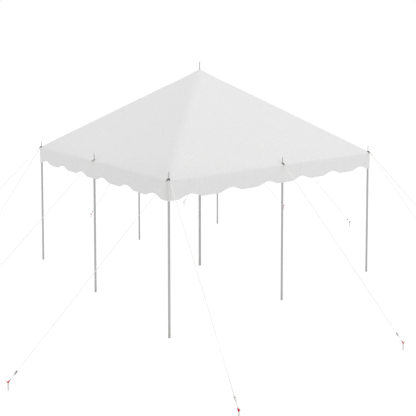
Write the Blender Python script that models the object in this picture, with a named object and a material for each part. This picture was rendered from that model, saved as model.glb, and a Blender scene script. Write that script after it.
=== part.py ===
# A pole marquee, twenty feet square: a white fabric roof with a scalloped valance, on one
# centre pole and eight side poles, held down by twelve webbing guys with ratchets and stakes.
# Metres, +Z up. The origin is the foot of the centre pole, on the ground.
# The front faces -Y and the right side faces +X.

import math

import bmesh
import bpy
from mathutils import Matrix, Vector

# Driving dimensions of the plan and the roof
BAY = 3.048                     # ten feet from pole to pole, two bays a side
EDGE = 0.037                    # the eave hangs this far outside the pole line
EAVE_Z = 3.070                  # top of the roof at its outer edge
APEX_Z = 5.185                  # top of the roof at the centre pole
ROOF_T = 0.005                  # thickness of the roof solid, measured upright
GAP = 0.0003                    # space between pieces that touch

# Valance
VALANCE_T = 0.004
VALANCE_BOTTOM_Z = 2.6775       # lowest edge, at the flats between the scallops
SCALLOPS = 6                    # arches along one side
SCALLOP_FIRST = 0.526           # middle of the first arch from the corner that a side starts at
SCALLOP_PITCH = 1.0467
SCALLOP_RISE = 0.080
SCALLOP_HALF_WIDTH = 0.286
SCALLOP_ROUNDING = 1.25         # power of the cosine that shapes an arch
SCALLOP_STEPS = 12

# Poles: round tubes, each with a pin that comes up through the roof
SIDE_POLE_R = 0.02415
SIDE_PIN_R = 0.008
SIDE_PIN_TOP_Z = 3.235
CENTRE_POLE_R = 0.03175
CENTRE_PIN_R = 0.0095
CENTRE_PIN_TOP_Z = 5.382
PIN_TIP = 0.004                 # chamfer at the top of a pin
GROMMET_PLAY = 0.002            # the roof's holes are this much wider than the pins
ROUND_SIDES = 20                # of the poles, the pins and the eyes
PIN_HOLE_SIDES = 16

# Guys: an eye plate over the pin, then one strap down to the stake
STRAP_W = 0.020
STRAP_T = 0.004
EYE_R = 0.017
EYE_T = 0.004
EYE_BAND_T = 0.003              # the plate between the eye and the bend
EYE_BEND = 0.062                # the level plate bends down at this distance from the pin
EYE_PLATE_L = 0.024             # length of the bent part, above the webbing
LOOP_PLAY = 0.0006              # space between the strap's end loop and the stake's bar
LOOP_T = 0.003
LOOP_TAPER = 0.010              # the end loop closes to the strap over this length

# Stakes: a steel rod with a V-shaped plate near its top
STAKE_R = 0.0125
STAKE_TOP_Z = 0.137
STAKE_CHAMFER = 0.002
STAKE_SIDES = 16
V_ROOT_Z = 0.134
V_ANGLE = math.radians(44.0)    # of each arm above the ground
V_ARM_L = 0.044
V_PLATE_T = 0.005
V_PLATE_W = 0.028
V_BAR = 0.008                   # steel left between the slot and the arm's end
V_SLOT_L = 0.014
V_SLOT_W = STRAP_W + 0.002

# Ratchets: a steel frame that the strap runs through
RATCHET_L = 0.070
RATCHET_W = 0.027
RATCHET_CENTRE = 0.176          # from the root of the stake's V, along the strap
RATCHET_BELOW = 0.009           # depth of the frame under the strap
RATCHET_ABOVE = 0.010           # height of the drum over the strap
RATCHET_HANDLE = 0.014          # height of the folded handle over the strap
RATCHET_SQUARE = 0.75           # share of its length before the ends slope in

# Modelling
CUT_OVER = 0.02                 # a cutting shape reaches this far past what it cuts
MERGE_WITHIN = 1e-5
SMOOTH_BELOW = 40.0             # degrees between faces that are shaded as one round surface

# Derived sizes
CANOPY_HALF = BAY + EDGE
SLOPE = (APEX_Z - EAVE_Z) / CANOPY_HALF
HIP_GAP = GAP / math.sqrt(2.0)  # keeps adjoining panels one gap apart at the hips

# The four sides in turn. The scallops of two sides that meet at a corner mirror each other
# there, so every second side runs the other way.
SIDES = (("front", 1), ("right", -1), ("back", 1), ("left", -1))

# Every side pole, by name: its place in the grid of bays
SIDE_POLES = {
    "front_left": (-1, -1),
    "front_mid": (0, -1),
    "front_right": (1, -1),
    "right_mid": (1, 0),
    "back_right": (1, 1),
    "back_mid": (0, 1),
    "back_left": (-1, 1),
    "left_mid": (-1, 0),
}

# Every guy: its name, its pole, its bearing from +X in degrees, its reach along the ground,
# and how many eyes lie under its own on the pin
GUYS = [
    ("front_left_1", "front_left", 179.0, 3.11, 0),
    ("front_left_2", "front_left", -104.0, 2.97, 1),
    ("front_mid", "front_mid", -89.0, 3.11, 0),
    ("front_right_1", "front_right", -95.0, 3.11, 0),
    ("front_right_2", "front_right", -15.0, 3.05, 1),
    ("right_mid", "right_mid", 1.0, 3.20, 0),
    ("back_right_1", "back_right", 1.0, 3.20, 0),
    ("back_right_2", "back_right", 77.5, 2.85, 1),
    ("back_mid", "back_mid", 89.0, 3.30, 0),
    ("back_left_1", "back_left", 101.0, 3.05, 0),
    ("back_left_2", "back_left", 170.0, 3.05, 1),
    ("left_mid", "left_mid", 181.0, 3.24, 0),
]


def clear_scene():
    for old in list(bpy.data.objects):
        bpy.data.objects.remove(old, do_unlink=True)


def make_material(name, color, metallic, roughness):
    mat = bpy.data.materials.new(name)
    mat.use_nodes = True
    shader = mat.node_tree.nodes["Principled BSDF"]
    shader.inputs["Base Color"].default_value = (*color, 1.0)
    shader.inputs["Metallic"].default_value = metallic
    shader.inputs["Roughness"].default_value = roughness
    mat.diffuse_color = (*color, 1.0)
    return mat


def mesh_from(bm, name, smooth=False):
    """Turns a bmesh into a mesh with its faces pointing out."""
    bmesh.ops.recalc_face_normals(bm, faces=bm.faces)
    mesh = bpy.data.meshes.new(name)
    bm.to_mesh(mesh)
    bm.free()
    if smooth:
        mesh.shade_smooth()
        mesh.set_sharp_from_angle(angle=math.radians(SMOOTH_BELOW))
    return mesh


def add_object(name, mesh, mat=None, parent=None):
    obj = bpy.data.objects.new(name, mesh)
    bpy.context.scene.collection.objects.link(obj)
    if mat is not None:
        # The material sits on the object, because some meshes are shared
        if not mesh.materials:
            mesh.materials.append(None)
        obj.material_slots[0].link = "OBJECT"
        obj.material_slots[0].material = mat
    obj.parent = parent
    return obj


def prism(outline, width, name):
    """A plate cut to an outline in XZ, centred on Y."""
    bm = bmesh.new()
    base = bm.faces.new([bm.verts.new((x, -width / 2, z)) for x, z in outline])
    grown = bmesh.ops.extrude_face_region(bm, geom=[base])
    moved = [item for item in grown["geom"] if isinstance(item, bmesh.types.BMVert)]
    bmesh.ops.translate(bm, vec=(0.0, width, 0.0), verts=moved)
    return mesh_from(bm, name)


def turned(profile, sides, name):
    """A round solid about Z from its outer profile, given as (radius, z) from foot to top."""
    bm = bmesh.new()
    verts = [bm.verts.new((radius, 0.0, z)) for radius, z in profile]
    edges = [bm.edges.new(pair) for pair in zip(verts, verts[1:])]
    bmesh.ops.spin(bm, geom=verts + edges, cent=(0, 0, 0), axis=(0, 0, 1),
                   angle=math.tau, steps=sides, use_duplicate=False)
    bmesh.ops.remove_doubles(bm, verts=bm.verts, dist=MERGE_WITHIN)
    return mesh_from(bm, name, smooth=True)


def cylinders(places, radius, low, high, sides, name):
    """Upright cylinders at several places, in one mesh."""
    bm = bmesh.new()
    for x, y in places:
        place = Matrix.Translation((x, y, (low + high) / 2))
        bmesh.ops.create_cone(bm, cap_ends=True, segments=sides, radius1=radius, radius2=radius,
                              depth=high - low, matrix=place)
    return mesh_from(bm, name)


def carve(mesh, tool_mesh, operation):
    """Joins or cuts a mesh with another and gives the new mesh."""
    body = add_object("carved_body", mesh)
    tool = add_object("carving_tool", tool_mesh)
    step = body.modifiers.new("Carve", "BOOLEAN")
    step.operation = operation
    step.solver = "EXACT"
    step.object = tool
    bpy.context.view_layer.update()
    seen = body.evaluated_get(bpy.context.evaluated_depsgraph_get())
    result = bpy.data.meshes.new_from_object(seen)
    result.name = mesh.name
    for used in (body, tool):
        bpy.data.objects.remove(used, do_unlink=True)
    for used in (mesh, tool_mesh):
        bpy.data.meshes.remove(used)
    return result


def roof_top(across):
    """Height of the roof's top at this distance from the centre, square to a side."""
    return APEX_Z - SLOPE * across


def make_roof(mat):
    """Four triangular panels that meet at the hips, pierced for the pins."""
    bm = bmesh.new()
    corner = CANOPY_HALF - HIP_GAP
    plan = [(0.0, HIP_GAP), (corner, CANOPY_HALF), (-corner, CANOPY_HALF)]
    upper = [bm.verts.new((x, -out, roof_top(out))) for x, out in plan]
    base = bm.faces.new(upper)
    grown = bmesh.ops.extrude_face_region(bm, geom=[base])
    moved = [item for item in grown["geom"] if isinstance(item, bmesh.types.BMVert)]
    bmesh.ops.translate(bm, vec=(0.0, 0.0, -ROOF_T), verts=moved)
    panel = mesh_from(bm, "roof_panel")

    low = VALANCE_BOTTOM_Z
    high = CENTRE_PIN_TOP_Z
    side_pins = cylinders([(-BAY, -BAY), (0.0, -BAY), (BAY, -BAY)], SIDE_PIN_R + GROMMET_PLAY,
                          low, high, PIN_HOLE_SIDES, "side_pin_holes")
    centre_pin = cylinders([(0.0, 0.0)], CENTRE_PIN_R + GROMMET_PLAY,
                           low, high, PIN_HOLE_SIDES, "centre_pin_hole")
    panel = carve(panel, side_pins, "DIFFERENCE")
    panel = carve(panel, centre_pin, "DIFFERENCE")
    for turn, (side, _) in enumerate(SIDES):
        obj = add_object("roof_" + side, panel, mat)
        obj.rotation_euler.z = turn * math.pi / 2


def scallop_edge():
    """The valance's lower edge along one side, as (x, z) from the corner that it starts at."""
    edge = [(-CANOPY_HALF, VALANCE_BOTTOM_Z)]
    for arch in range(SCALLOPS):
        middle = -CANOPY_HALF + SCALLOP_FIRST + arch * SCALLOP_PITCH
        for step in range(SCALLOP_STEPS + 1):
            along = -1 + 2 * step / SCALLOP_STEPS
            lift = max(0.0, math.cos(along * math.pi / 2)) ** SCALLOP_ROUNDING
            edge.append((middle + along * SCALLOP_HALF_WIDTH, VALANCE_BOTTOM_Z + SCALLOP_RISE * lift))
    edge.append((CANOPY_HALF, VALANCE_BOTTOM_Z))
    return edge


def valance_strip(way):
    """One side's strip, mitred at its ends. way is 1 or -1, the direction that it runs along X."""
    outer_top = roof_top(CANOPY_HALF) - ROOF_T - GAP
    inner_top = outer_top + SLOPE * VALANCE_T
    outer_end = CANOPY_HALF - HIP_GAP
    inner_end = outer_end - VALANCE_T
    bm = bmesh.new()
    sections = []
    for x, z in scallop_edge():
        outer_x = way * max(-outer_end, min(outer_end, x))
        inner_x = way * max(-inner_end, min(inner_end, x))
        outer_y = -CANOPY_HALF
        inner_y = outer_y + VALANCE_T
        corners = [(outer_x, outer_y, z), (outer_x, outer_y, outer_top),
                   (inner_x, inner_y, inner_top), (inner_x, inner_y, z)]
        sections.append([bm.verts.new(corner) for corner in corners])
    for here, there in zip(sections, sections[1:]):
        for side in range(4):
            after = (side + 1) % 4
            bm.faces.new((here[side], there[side], there[after], here[after]))
    bm.faces.new(sections[0])
    bm.faces.new(sections[-1])
    return mesh_from(bm, "valance_strip")


def make_valance(mat):
    strips = {way: valance_strip(way) for way in (1, -1)}
    for turn, (side, way) in enumerate(SIDES):
        obj = add_object("valance_" + side, strips[way], mat)
        obj.rotation_euler.z = turn * math.pi / 2


def pole_profile(pole_r, pole_top, pin_r, pin_top):
    return [(0.0, 0.0), (pole_r, 0.0), (pole_r, pole_top), (pin_r, pole_top),
            (pin_r, pin_top - PIN_TIP), (pin_r - PIN_TIP, pin_top), (0.0, pin_top)]


def make_poles(mat):
    """A tube ends just under the roof, where the slope first meets its rim."""
    side_top = roof_top(BAY + SIDE_POLE_R) - ROOF_T - GAP
    centre_top = roof_top(CENTRE_POLE_R) - ROOF_T - GAP
    side = turned(pole_profile(SIDE_POLE_R, side_top, SIDE_PIN_R, SIDE_PIN_TOP_Z),
                  ROUND_SIDES, "side_pole")
    centre = turned(pole_profile(CENTRE_POLE_R, centre_top, CENTRE_PIN_R, CENTRE_PIN_TOP_Z),
                    ROUND_SIDES, "centre_pole")
    for name, (column, row) in SIDE_POLES.items():
        obj = add_object("side_pole_" + name, side, mat)
        obj.location = (column * BAY, row * BAY, 0.0)
    add_object("centre_pole", centre, mat)


def bar_centre():
    """The middle of an arm's end bar, from the V's root, as (distance out, height)."""
    along = V_ARM_L - V_BAR / 2
    return along * math.cos(V_ANGLE), along * math.sin(V_ANGLE)


def slab_outline(start, end, low_side, high_side):
    """Four corners of a straight band in XZ, from start to end."""
    along = (end - start).normalized()
    up = Vector((-along.y, along.x))
    if up.y < 0:
        up.negate()
    return [start - up * low_side, end - up * low_side, end + up * high_side, start + up * high_side]


def stake_mesh():
    rod = turned([(0.0, 0.0), (STAKE_R, 0.0), (STAKE_R, STAKE_TOP_Z - STAKE_CHAMFER),
                  (STAKE_R - STAKE_CHAMFER, STAKE_TOP_Z), (0.0, STAKE_TOP_Z)],
                 STAKE_SIDES, "stake")
    half = V_PLATE_T / 2
    root = Vector((0.0, V_ROOT_Z))
    reach = Vector((math.cos(V_ANGLE), math.sin(V_ANGLE))) * V_ARM_L
    tip = root + reach
    up = Vector((-math.sin(V_ANGLE), math.cos(V_ANGLE))) * half
    fold = half / math.cos(V_ANGLE)
    right = [tip - up, tip + up]
    left = [Vector((-point.x, point.y)) for point in reversed(right)]
    outline = [Vector((0.0, V_ROOT_Z - fold)), *right, Vector((0.0, V_ROOT_Z + fold)), *left]
    plate = prism([tuple(point) for point in outline], V_PLATE_W, "v_plate")
    body = carve(rod, plate, "UNION")
    for side in (-1, 1):
        slot_far = V_ARM_L - V_BAR
        slot_near = slot_far - V_SLOT_L
        aim = Vector((side * math.cos(V_ANGLE), math.sin(V_ANGLE)))
        corners = slab_outline(root + aim * slot_near, root + aim * slot_far, V_PLATE_T, V_PLATE_T)
        slot = prism([tuple(point) for point in corners], V_SLOT_W, "slot")
        body = carve(body, slot, "DIFFERENCE")
    return body


def ratchet_mesh():
    """The folded ratchet: X runs along the strap and Z away from its upper face."""
    half = RATCHET_L / 2
    square = half * RATCHET_SQUARE
    outline = [
        (-half, -STRAP_T), (-square, -RATCHET_BELOW), (square, -RATCHET_BELOW), (half, -STRAP_T),
        (half, STRAP_T), (square, RATCHET_ABOVE), (0.0, RATCHET_HANDLE), (-square, RATCHET_HANDLE),
        (-half, STRAP_T),
    ]
    body = prism(outline, RATCHET_W, "ratchet")
    slot_t = STRAP_T / 2 + GAP
    reach = half + CUT_OVER
    opening = prism([(-reach, -slot_t), (reach, -slot_t), (reach, slot_t), (-reach, slot_t)],
                    STRAP_W + 2 * GAP, "strap_way")
    return carve(body, opening, "DIFFERENCE")


def strap_mesh(bend, bar):
    """Eye plate, strap and end loop, in the upright plane of the guy.

    bend is where the plate turns down and bar is the middle of the stake's bar.
    """
    down = (bar - bend).normalized()
    up = Vector((-down.y, down.x))
    if up.y < 0:
        up.negate()
    half_plate = EYE_BAND_T / 2
    half_strap = STRAP_T / 2
    mitre = half_plate * math.tan(math.acos(down.x) / 2)
    plate_end = bend + down * EYE_PLATE_L
    loop_half = V_BAR / 2 + LOOP_PLAY
    loop_reach = loop_half + LOOP_T
    loop_up = V_PLATE_T / 2 + LOOP_PLAY + LOOP_T
    loop_start = bar - down * (loop_reach + LOOP_TAPER)
    outline = [
        Vector((0.0, bend.y - half_plate)),
        Vector((bend.x - mitre, bend.y - half_plate)),
        plate_end - up * half_plate,
        plate_end - up * half_strap,
        loop_start - up * half_strap,
        bar - down * loop_reach - up * loop_up,
        bar + down * loop_reach - up * loop_up,
        bar + down * loop_reach + up * loop_up,
        bar - down * loop_reach + up * loop_up,
        loop_start + up * half_strap,
        plate_end + up * half_strap,
        plate_end + up * half_plate,
        Vector((bend.x + mitre, bend.y + half_plate)),
        Vector((0.0, bend.y + half_plate)),
    ]
    strap = prism([tuple(point) for point in outline], STRAP_W, "strap")
    eye = cylinders([(0.0, 0.0)], EYE_R, bend.y - EYE_T / 2, bend.y + EYE_T / 2,
                    ROUND_SIDES, "eye")
    strap = carve(strap, eye, "UNION")
    pin = cylinders([(0.0, 0.0)], SIDE_PIN_R + GAP, bend.y - EYE_T, bend.y + EYE_T,
                    ROUND_SIDES, "pin_way")
    strap = carve(strap, pin, "DIFFERENCE")
    clear = V_PLATE_T / 2 + LOOP_PLAY
    window = slab_outline(bar - down * loop_half, bar + down * loop_half, clear, clear)
    bar_way = prism([tuple(point) for point in window], STRAP_W + CUT_OVER, "bar_way")
    return carve(strap, bar_way, "DIFFERENCE")


def make_guys(strap_mat, ratchet_mat, stake_mat):
    stake = stake_mesh()
    ratchet = ratchet_mesh()
    lowest_eye = roof_top(BAY - EYE_R) + GAP + EYE_T / 2
    bar_out, bar_up = bar_centre()
    for name, pole, bearing, reach, eyes_below in GUYS:
        column, row = SIDE_POLES[pole]
        line = bpy.data.objects.new("guy_line_" + name, None)
        bpy.context.scene.collection.objects.link(line)
        line.location = (column * BAY, row * BAY, 0.0)
        line.rotation_euler.z = math.radians(bearing)

        bend = Vector((EYE_BEND, lowest_eye + eyes_below * (EYE_T + GAP)))
        bar = Vector((reach - bar_out, V_ROOT_Z + bar_up))
        add_object("guy_strap_" + name, strap_mesh(bend, bar), strap_mat, line)

        down = (bar - bend).normalized()
        middle = bar - down * (RATCHET_CENTRE - V_ARM_L + V_BAR / 2)
        body = add_object("ratchet_" + name, ratchet, ratchet_mat, line)
        body.location = (middle.x, 0.0, middle.y)
        body.rotation_euler.y = math.atan2(-down.y, down.x)

        peg = add_object("stake_" + name, stake, stake_mat, line)
        peg.location.x = reach


def main():
    clear_scene()
    fabric = make_material("white_canopy_fabric", (0.86, 0.87, 0.88), 0.0, 0.55)
    tube = make_material("galvanised_tube", (0.60, 0.61, 0.62), 0.85, 0.42)
    webbing = make_material("cream_webbing", (0.78, 0.78, 0.71), 0.0, 0.80)
    dark_steel = make_material("dark_ratchet_steel", (0.19, 0.19, 0.18), 0.60, 0.50)
    red_head = make_material("red_stake_paint", (0.62, 0.05, 0.08), 0.0, 0.45)
    make_roof(fabric)
    make_valance(fabric)
    make_poles(tube)
    make_guys(webbing, dark_steel, red_head)
    bpy.context.view_layer.update()


main()
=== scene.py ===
# The marquee in the photograph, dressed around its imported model.
# Metres, +Z up. The origin is the foot of the centre pole, on the ground.
# The front faces -Y and the right side faces +X.

from math import atan, atan2, cos, hypot, pi, radians, sin, sqrt, tan

import bmesh
import bpy
import numpy as np
from mathutils import Matrix, Vector
from mathutils.bvhtree import BVHTree
from mathutils.geometry import convex_hull_2d


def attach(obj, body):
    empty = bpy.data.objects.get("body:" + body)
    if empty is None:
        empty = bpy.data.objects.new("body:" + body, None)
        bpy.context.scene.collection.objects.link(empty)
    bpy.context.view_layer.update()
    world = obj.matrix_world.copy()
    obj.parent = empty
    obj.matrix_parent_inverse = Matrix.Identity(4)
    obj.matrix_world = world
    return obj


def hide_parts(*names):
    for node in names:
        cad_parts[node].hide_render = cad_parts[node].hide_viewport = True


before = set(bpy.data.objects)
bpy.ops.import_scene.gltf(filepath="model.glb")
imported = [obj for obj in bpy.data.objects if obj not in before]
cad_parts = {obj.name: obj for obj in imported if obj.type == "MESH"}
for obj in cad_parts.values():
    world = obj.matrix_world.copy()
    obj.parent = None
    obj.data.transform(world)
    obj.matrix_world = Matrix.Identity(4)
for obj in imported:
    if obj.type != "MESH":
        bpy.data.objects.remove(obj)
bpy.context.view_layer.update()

# Sizes shared with the model
BAY = 3.048
HALF = 3.085  # eave from the centre
APEX_Z = 5.185
SLOPE = 0.685575  # fall of the roof per metre outward
HEM_Z = 2.6775  # lowest edge of the valance
ARCHES = 6
ARCH_FIRST = 0.526
ARCH_PITCH = 1.0467
ARCH_RISE = 0.08
ARCH_HALF = 0.286
ARCH_POWER = 1.25
SIDE_TUBE_R = 0.02415
SIDE_TUBE_TOP = 3.0727
CENTRE_TUBE_R = 0.03175
CENTRE_TUBE_TOP = 5.1571
PIN_R = 0.008
CENTRE_PIN_R = 0.0095
PIN_TOP = 3.235
CENTRE_PIN_TOP = 5.382
STRAP_W = 0.02
LONG_STRAP_W = 0.0185  # the taut part, drawn narrower by its pull
EYE_BEND = 0.019  # the eye plates turn down at this distance from the pin
EYE_Z = 3.10932  # middle of the lowest eye on a pin
EYE_STEP = 0.0043  # from one eye to the one on top of it
EYE_SLOT = 0.05  # start of the slot, from the bend
V_ANGLE = radians(44.0)
V_ROOT_Z = 0.134
V_BAR_OUT = 0.04  # middle of the bar, from the root along the arm
RATCHET_UP = 0.136  # middle of the ratchet, from the bar up the strap
RATCHET_AXLE = -0.02  # the drum's place along the ratchet
RATCHET_BOLT = 0.0275

SIDES = ("front", "right", "back", "left")
POLES = {
    "front_left": (-BAY, -BAY), "front_mid": (0.0, -BAY), "front_right": (BAY, -BAY),
    "right_mid": (BAY, 0.0), "back_right": (BAY, BAY), "back_mid": (0.0, BAY),
    "back_left": (-BAY, BAY), "left_mid": (-BAY, 0.0),
}
# Each guy's name starts with its pole's, and a 2 at its end puts its eye on top of the other's. The
# numbers are its bearing in degrees from +X, its reach along the ground, and the twist of its long
# strap in degrees between the eye plate and the ratchet.
GUYS = [
    ("front_left_1", 179.0, 3.11, -2),
    ("front_left_2", -104.0, 2.97, 33),
    ("front_mid", -89.0, 3.11, -10),
    ("front_right_1", -95.0, 3.11, -8),
    ("front_right_2", -15.0, 3.05, 21),
    ("right_mid", 1.0, 3.2, 15),
    ("back_right_1", 1.0, 3.2, 27),
    ("back_right_2", 77.5, 2.85, 8),
    ("back_mid", 89.0, 3.3, -4),
    ("back_left_1", 101.0, 3.05, -6),
    ("back_left_2", 170.0, 3.05, 33),
    ("left_mid", 181.0, 3.24, 12),
]


# Camera
def make_camera():
    data = bpy.data.cameras.new("camera")
    data.sensor_width = 36.0
    data.lens = 51.86
    data.shift_x = -0.0151
    data.shift_y = -0.2561
    data.clip_end = 600.0
    camera = bpy.data.objects.new("camera", data)
    camera.location = (-9.4233, -12.4518, 5.2023)
    camera.rotation_euler = (radians(90.0 - 3.142), 0.0, radians(51.481 - 90.0))
    bpy.context.scene.collection.objects.link(camera)
    bpy.context.scene.camera = camera


make_camera()


# Small tools
def smooth(value, low, high):
    """0 below low, 1 above high, and a soft step between."""
    t = np.clip((np.asarray(value, dtype=float) - low) / (high - low), 0.0, 1.0)
    return t * t * (3.0 - 2.0 * t)


def shift(x, y, z):
    return Matrix.Translation((x, y, z))


def rotation(angle, axis):
    return Matrix.Rotation(angle, 4, axis)


def link_mesh(name, mesh, material, nodes=(), crisp=None):
    """Adds a finished piece; crisp is the angle in degrees above which an edge stays sharp."""
    mesh.materials.clear()
    mesh.materials.append(material)
    mesh.polygons.foreach_set("use_smooth", [True] * len(mesh.polygons))
    if crisp is not None:
        mesh.set_sharp_from_angle(angle=radians(crisp))
    piece = bpy.data.objects.new(name, mesh)
    bpy.context.scene.collection.objects.link(piece)
    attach(piece, "root")
    if nodes:
        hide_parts(*nodes)
    return piece


def mesh_of(bm, name):
    bmesh.ops.recalc_face_normals(bm, faces=bm.faces)
    mesh = bpy.data.meshes.new(name)
    bm.to_mesh(mesh)
    bm.free()
    return mesh


def make_piece(bm, name, material, nodes=(), crisp=None, lays=()):
    """Makes a piece; lays holds metres along, metres across and the stitching's share of each vertex."""
    mesh = mesh_of(bm, name)
    if lays:
        layer = mesh.attributes.new("lay", "FLOAT_VECTOR", "POINT")
        layer.data.foreach_set("vector", np.asarray(lays, dtype=float).ravel())
    return link_mesh(name, mesh, material, nodes, crisp)


def join_rings(bm, rings):
    """Adds the faces between rings of vertices that have the same count."""
    for low, high in zip(rings, rings[1:]):
        for i in range(len(low)):
            j = (i + 1) % len(low)
            bm.faces.new((low[i], low[j], high[j], high[i]))


def add_turned(bm, profile, sides, place):
    """Adds a body turned round Z to bm, from (radius, z) pairs that start and end on the axis."""
    rings = []
    for radius, z in profile[1:-1]:
        rings.append([bm.verts.new(place @ Vector((x, y, z))) for x, y in circle(0.0, 0.0, radius, sides)])
    join_rings(bm, rings)
    for rim, z in ((rings[0], profile[0][1]), (rings[-1], profile[-1][1])):
        tip = bm.verts.new(place @ Vector((0.0, 0.0, z)))
        for i in range(sides):
            bm.faces.new((rim[i], rim[(i + 1) % sides], tip))


def polar(x, y, radius, turn):
    """The point at a distance and an angle from (x, y)."""
    return x + radius * cos(turn), y + radius * sin(turn)


def rounded_profile(radius, low, high, edge):
    """Half outline of a rod with rounded ends, as (radius, z) pairs."""
    points = [(0.0, low)]
    for z, first in ((low + edge, -1), (high - edge, 0)):
        for step in range(4):
            points.append(polar(radius - edge, z, edge, pi / 2 * (first + step / 3)))
    return points + [(0.0, high)]


def circle(x, y, radius, count):
    return [polar(x, y, radius, 2.0 * pi * i / count) for i in range(count)]


def rounded_box(x0, x1, y0, y1, radius):
    """Outline of a rectangle with rounded corners."""
    points = []
    for x, y, first in ((x1 - radius, y1 - radius, 0), (x0 + radius, y1 - radius, 1),
                        (x0 + radius, y0 + radius, 2), (x1 - radius, y0 + radius, 3)):
        for step in range(4):
            points.append(polar(x, y, radius, pi / 2 * (first + step / 3)))
    return points


def add_plate(bm, outlines, thick, edge, place):
    """Adds a plate with softened edges: the first outline is its rim, the others are holes."""
    curve = bpy.data.curves.new("outline", "CURVE")
    curve.dimensions = "2D"
    curve.fill_mode = "BOTH"
    curve.extrude = thick / 2 - edge
    curve.bevel_depth = edge
    curve.bevel_resolution = 0
    curve.offset = -edge
    for outline in outlines:
        spline = curve.splines.new("POLY")
        spline.points.add(len(outline) - 1)
        for point, (x, y) in zip(spline.points, outline):
            point.co = (x, y, 0.0, 1.0)
        spline.use_cyclic_u = True
    holder = bpy.data.objects.new("outline", curve)
    bpy.context.scene.collection.objects.link(holder)
    bpy.context.view_layer.update()
    mesh = bpy.data.meshes.new_from_object(holder.evaluated_get(bpy.context.evaluated_depsgraph_get()))
    bpy.data.objects.remove(holder, do_unlink=True)
    bpy.data.curves.remove(curve)
    part = bmesh.new()
    part.from_mesh(mesh)
    bpy.data.meshes.remove(mesh)
    bmesh.ops.remove_doubles(part, verts=part.verts, dist=1e-6)
    copies = {vert: bm.verts.new(place @ vert.co) for vert in part.verts}
    for face in part.faces:
        corners = [copies[vert] for vert in face.verts]
        if bm.faces.get(corners) is None:
            bm.faces.new(corners)
    part.free()


# Materials
def new_material(name):
    mat = bpy.data.materials.new(name)
    mat.use_nodes = True
    return mat, mat.node_tree


def feed(node, links):
    """Sets a node's inputs: each from another node's output, or to a number or a colour."""
    for socket, source in links.items():
        if isinstance(source, (int, float, tuple)):
            node.inputs[socket].default_value = source
        else:
            node.id_data.links.new(source, node.inputs[socket])


def shaded(mat, links):
    """Sets the inputs of a material's shader, and gives the material back."""
    feed(mat.node_tree.nodes["Principled BSDF"], links)
    return mat


def add_node(kind, links, **settings):
    """Adds a node to the tree that its inputs come from."""
    tree = next(source.id_data for source in links.values() if hasattr(source, "id_data"))
    node = tree.nodes.new("ShaderNode" + kind)
    for key, value in settings.items():
        setattr(node, key, value)
    feed(node, links)
    return node


def object_place(tree):
    return tree.nodes.new("ShaderNodeTexCoord").outputs["Object"]


def parts_of(vector):
    """The three parts of a vector."""
    return add_node("SeparateXYZ", {0: vector}).outputs


def stretched(where, scale):
    return add_node("Mapping", {"Vector": where, "Scale": scale}).outputs[0]


def noise(where, scale, detail, rough=0.5):
    links = {"Vector": where, "Scale": scale, "Detail": detail, "Roughness": rough}
    return add_node("TexNoise", links).outputs["Fac"]


def maths(operation, first, second=0.0, third=0.0):
    return add_node("Math", {0: first, 1: second, 2: third}, operation=operation).outputs[0]


def times(first, second):
    return maths("MULTIPLY", first, second)


def spread(value, low, high, to_low=0.0, to_high=1.0):
    """Takes the range from low to high to another one, and holds still past its ends."""
    links = {"Value": value, "From Min": low, "From Max": high, "To Min": to_low, "To Max": to_high}
    return add_node("MapRange", links).outputs[0]


def sharpness(tree, low, high):
    """0 on faces and blunt edges, up to 1 on sharp ones."""
    return spread(tree.nodes.new("ShaderNodeNewGeometry").outputs["Pointiness"], low, high)


def tint_value(share, first, second):
    """A number that goes from first to second."""
    return add_node("Mix", {0: share, 2: first, 3: second}, data_type="FLOAT").outputs[0]


def tint(share, first, second):
    """A colour that goes from first to second."""
    pair = [(*value, 1.0) if isinstance(value, tuple) else value for value in (first, second)]
    return add_node("Mix", {0: share, 6: pair[0], 7: pair[1]}, data_type="RGBA").outputs[2]


def bump(height, strength, distance, under=None):
    links = {"Height": height, "Strength": strength, "Distance": distance}
    if under is not None:
        links["Normal"] = under
    return add_node("Bump", links).outputs["Normal"]


FABRIC_WHITE = (0.732, 0.731, 0.73)
FABRIC_SHADE = (0.69, 0.689, 0.688)
# painted shade on the cloth down two corners, over the poles
FABRIC_CORNER_SHADE = (0.612, 0.612, 0.607)
FRONT_CORNER_SHADE = 0.976  # painted shade at the front left corner, as a share of the white
# painted shade on the valance, as a share of the white
VALANCE_SHADE = 0.958
SHADED_CORNERS = 1.0  # the corners where X times Y is above this get the painted corner shade
SWEEP_WIDTH = 0.184  # of the turn-down, for each metre from the middle of the side
SWEEP_TILT = 0.25  # radians at the eave
STITCH_PITCH = 0.0055


def corner_shade_mask(axes):
    """Painted shade down the valance at two corners, over the poles: 1 on the shaded strip and soft at its
    edges.
    """
    off_x = maths("ABSOLUTE", axes[0])
    off_y = maths("ABSOLUTE", axes[1])
    near = times(spread(off_x, 2.985, 3.034), spread(off_y, 2.985, 3.045))
    below = spread(axes[2], 3.07, 3.02)
    on_shaded_corner = maths("GREATER_THAN", times(axes[0], axes[1]), SHADED_CORNERS)
    return times(times(near, below), on_shaded_corner)


def painted_shade_tone(axes, on_valance):
    """Painted shade: the cloth slowly darker down the front left hip and on the valance."""
    toward = times(maths("ADD", axes[0], axes[1]), -0.5 / HALF)
    slow = spread(toward, 0.1, 1.0, 1.0, FRONT_CORNER_SHADE)
    return times(slow, spread(on_valance, 0.0, 1.0, 1.0, VALANCE_SHADE))


def eave_sweep(axes):
    """Height of a broad soft turn-down along the eaves, widest by the corners, none by the middle poles."""
    off_x = maths("ABSOLUTE", axes[0])
    off_y = maths("ABSOLUTE", axes[1])
    inward = maths("SUBTRACT", HALF, maths("MAXIMUM", off_x, off_y))
    width = maths("MULTIPLY_ADD", maths("MINIMUM", off_x, off_y), SWEEP_WIDTH, 0.024)
    share = maths("SUBTRACT", 1.0, maths("DIVIDE", inward, width))
    share = maths("MINIMUM", maths("MAXIMUM", share, 0.0), 1.0)
    return times(times(times(share, share), width), -0.5 * SWEEP_TILT)


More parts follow.
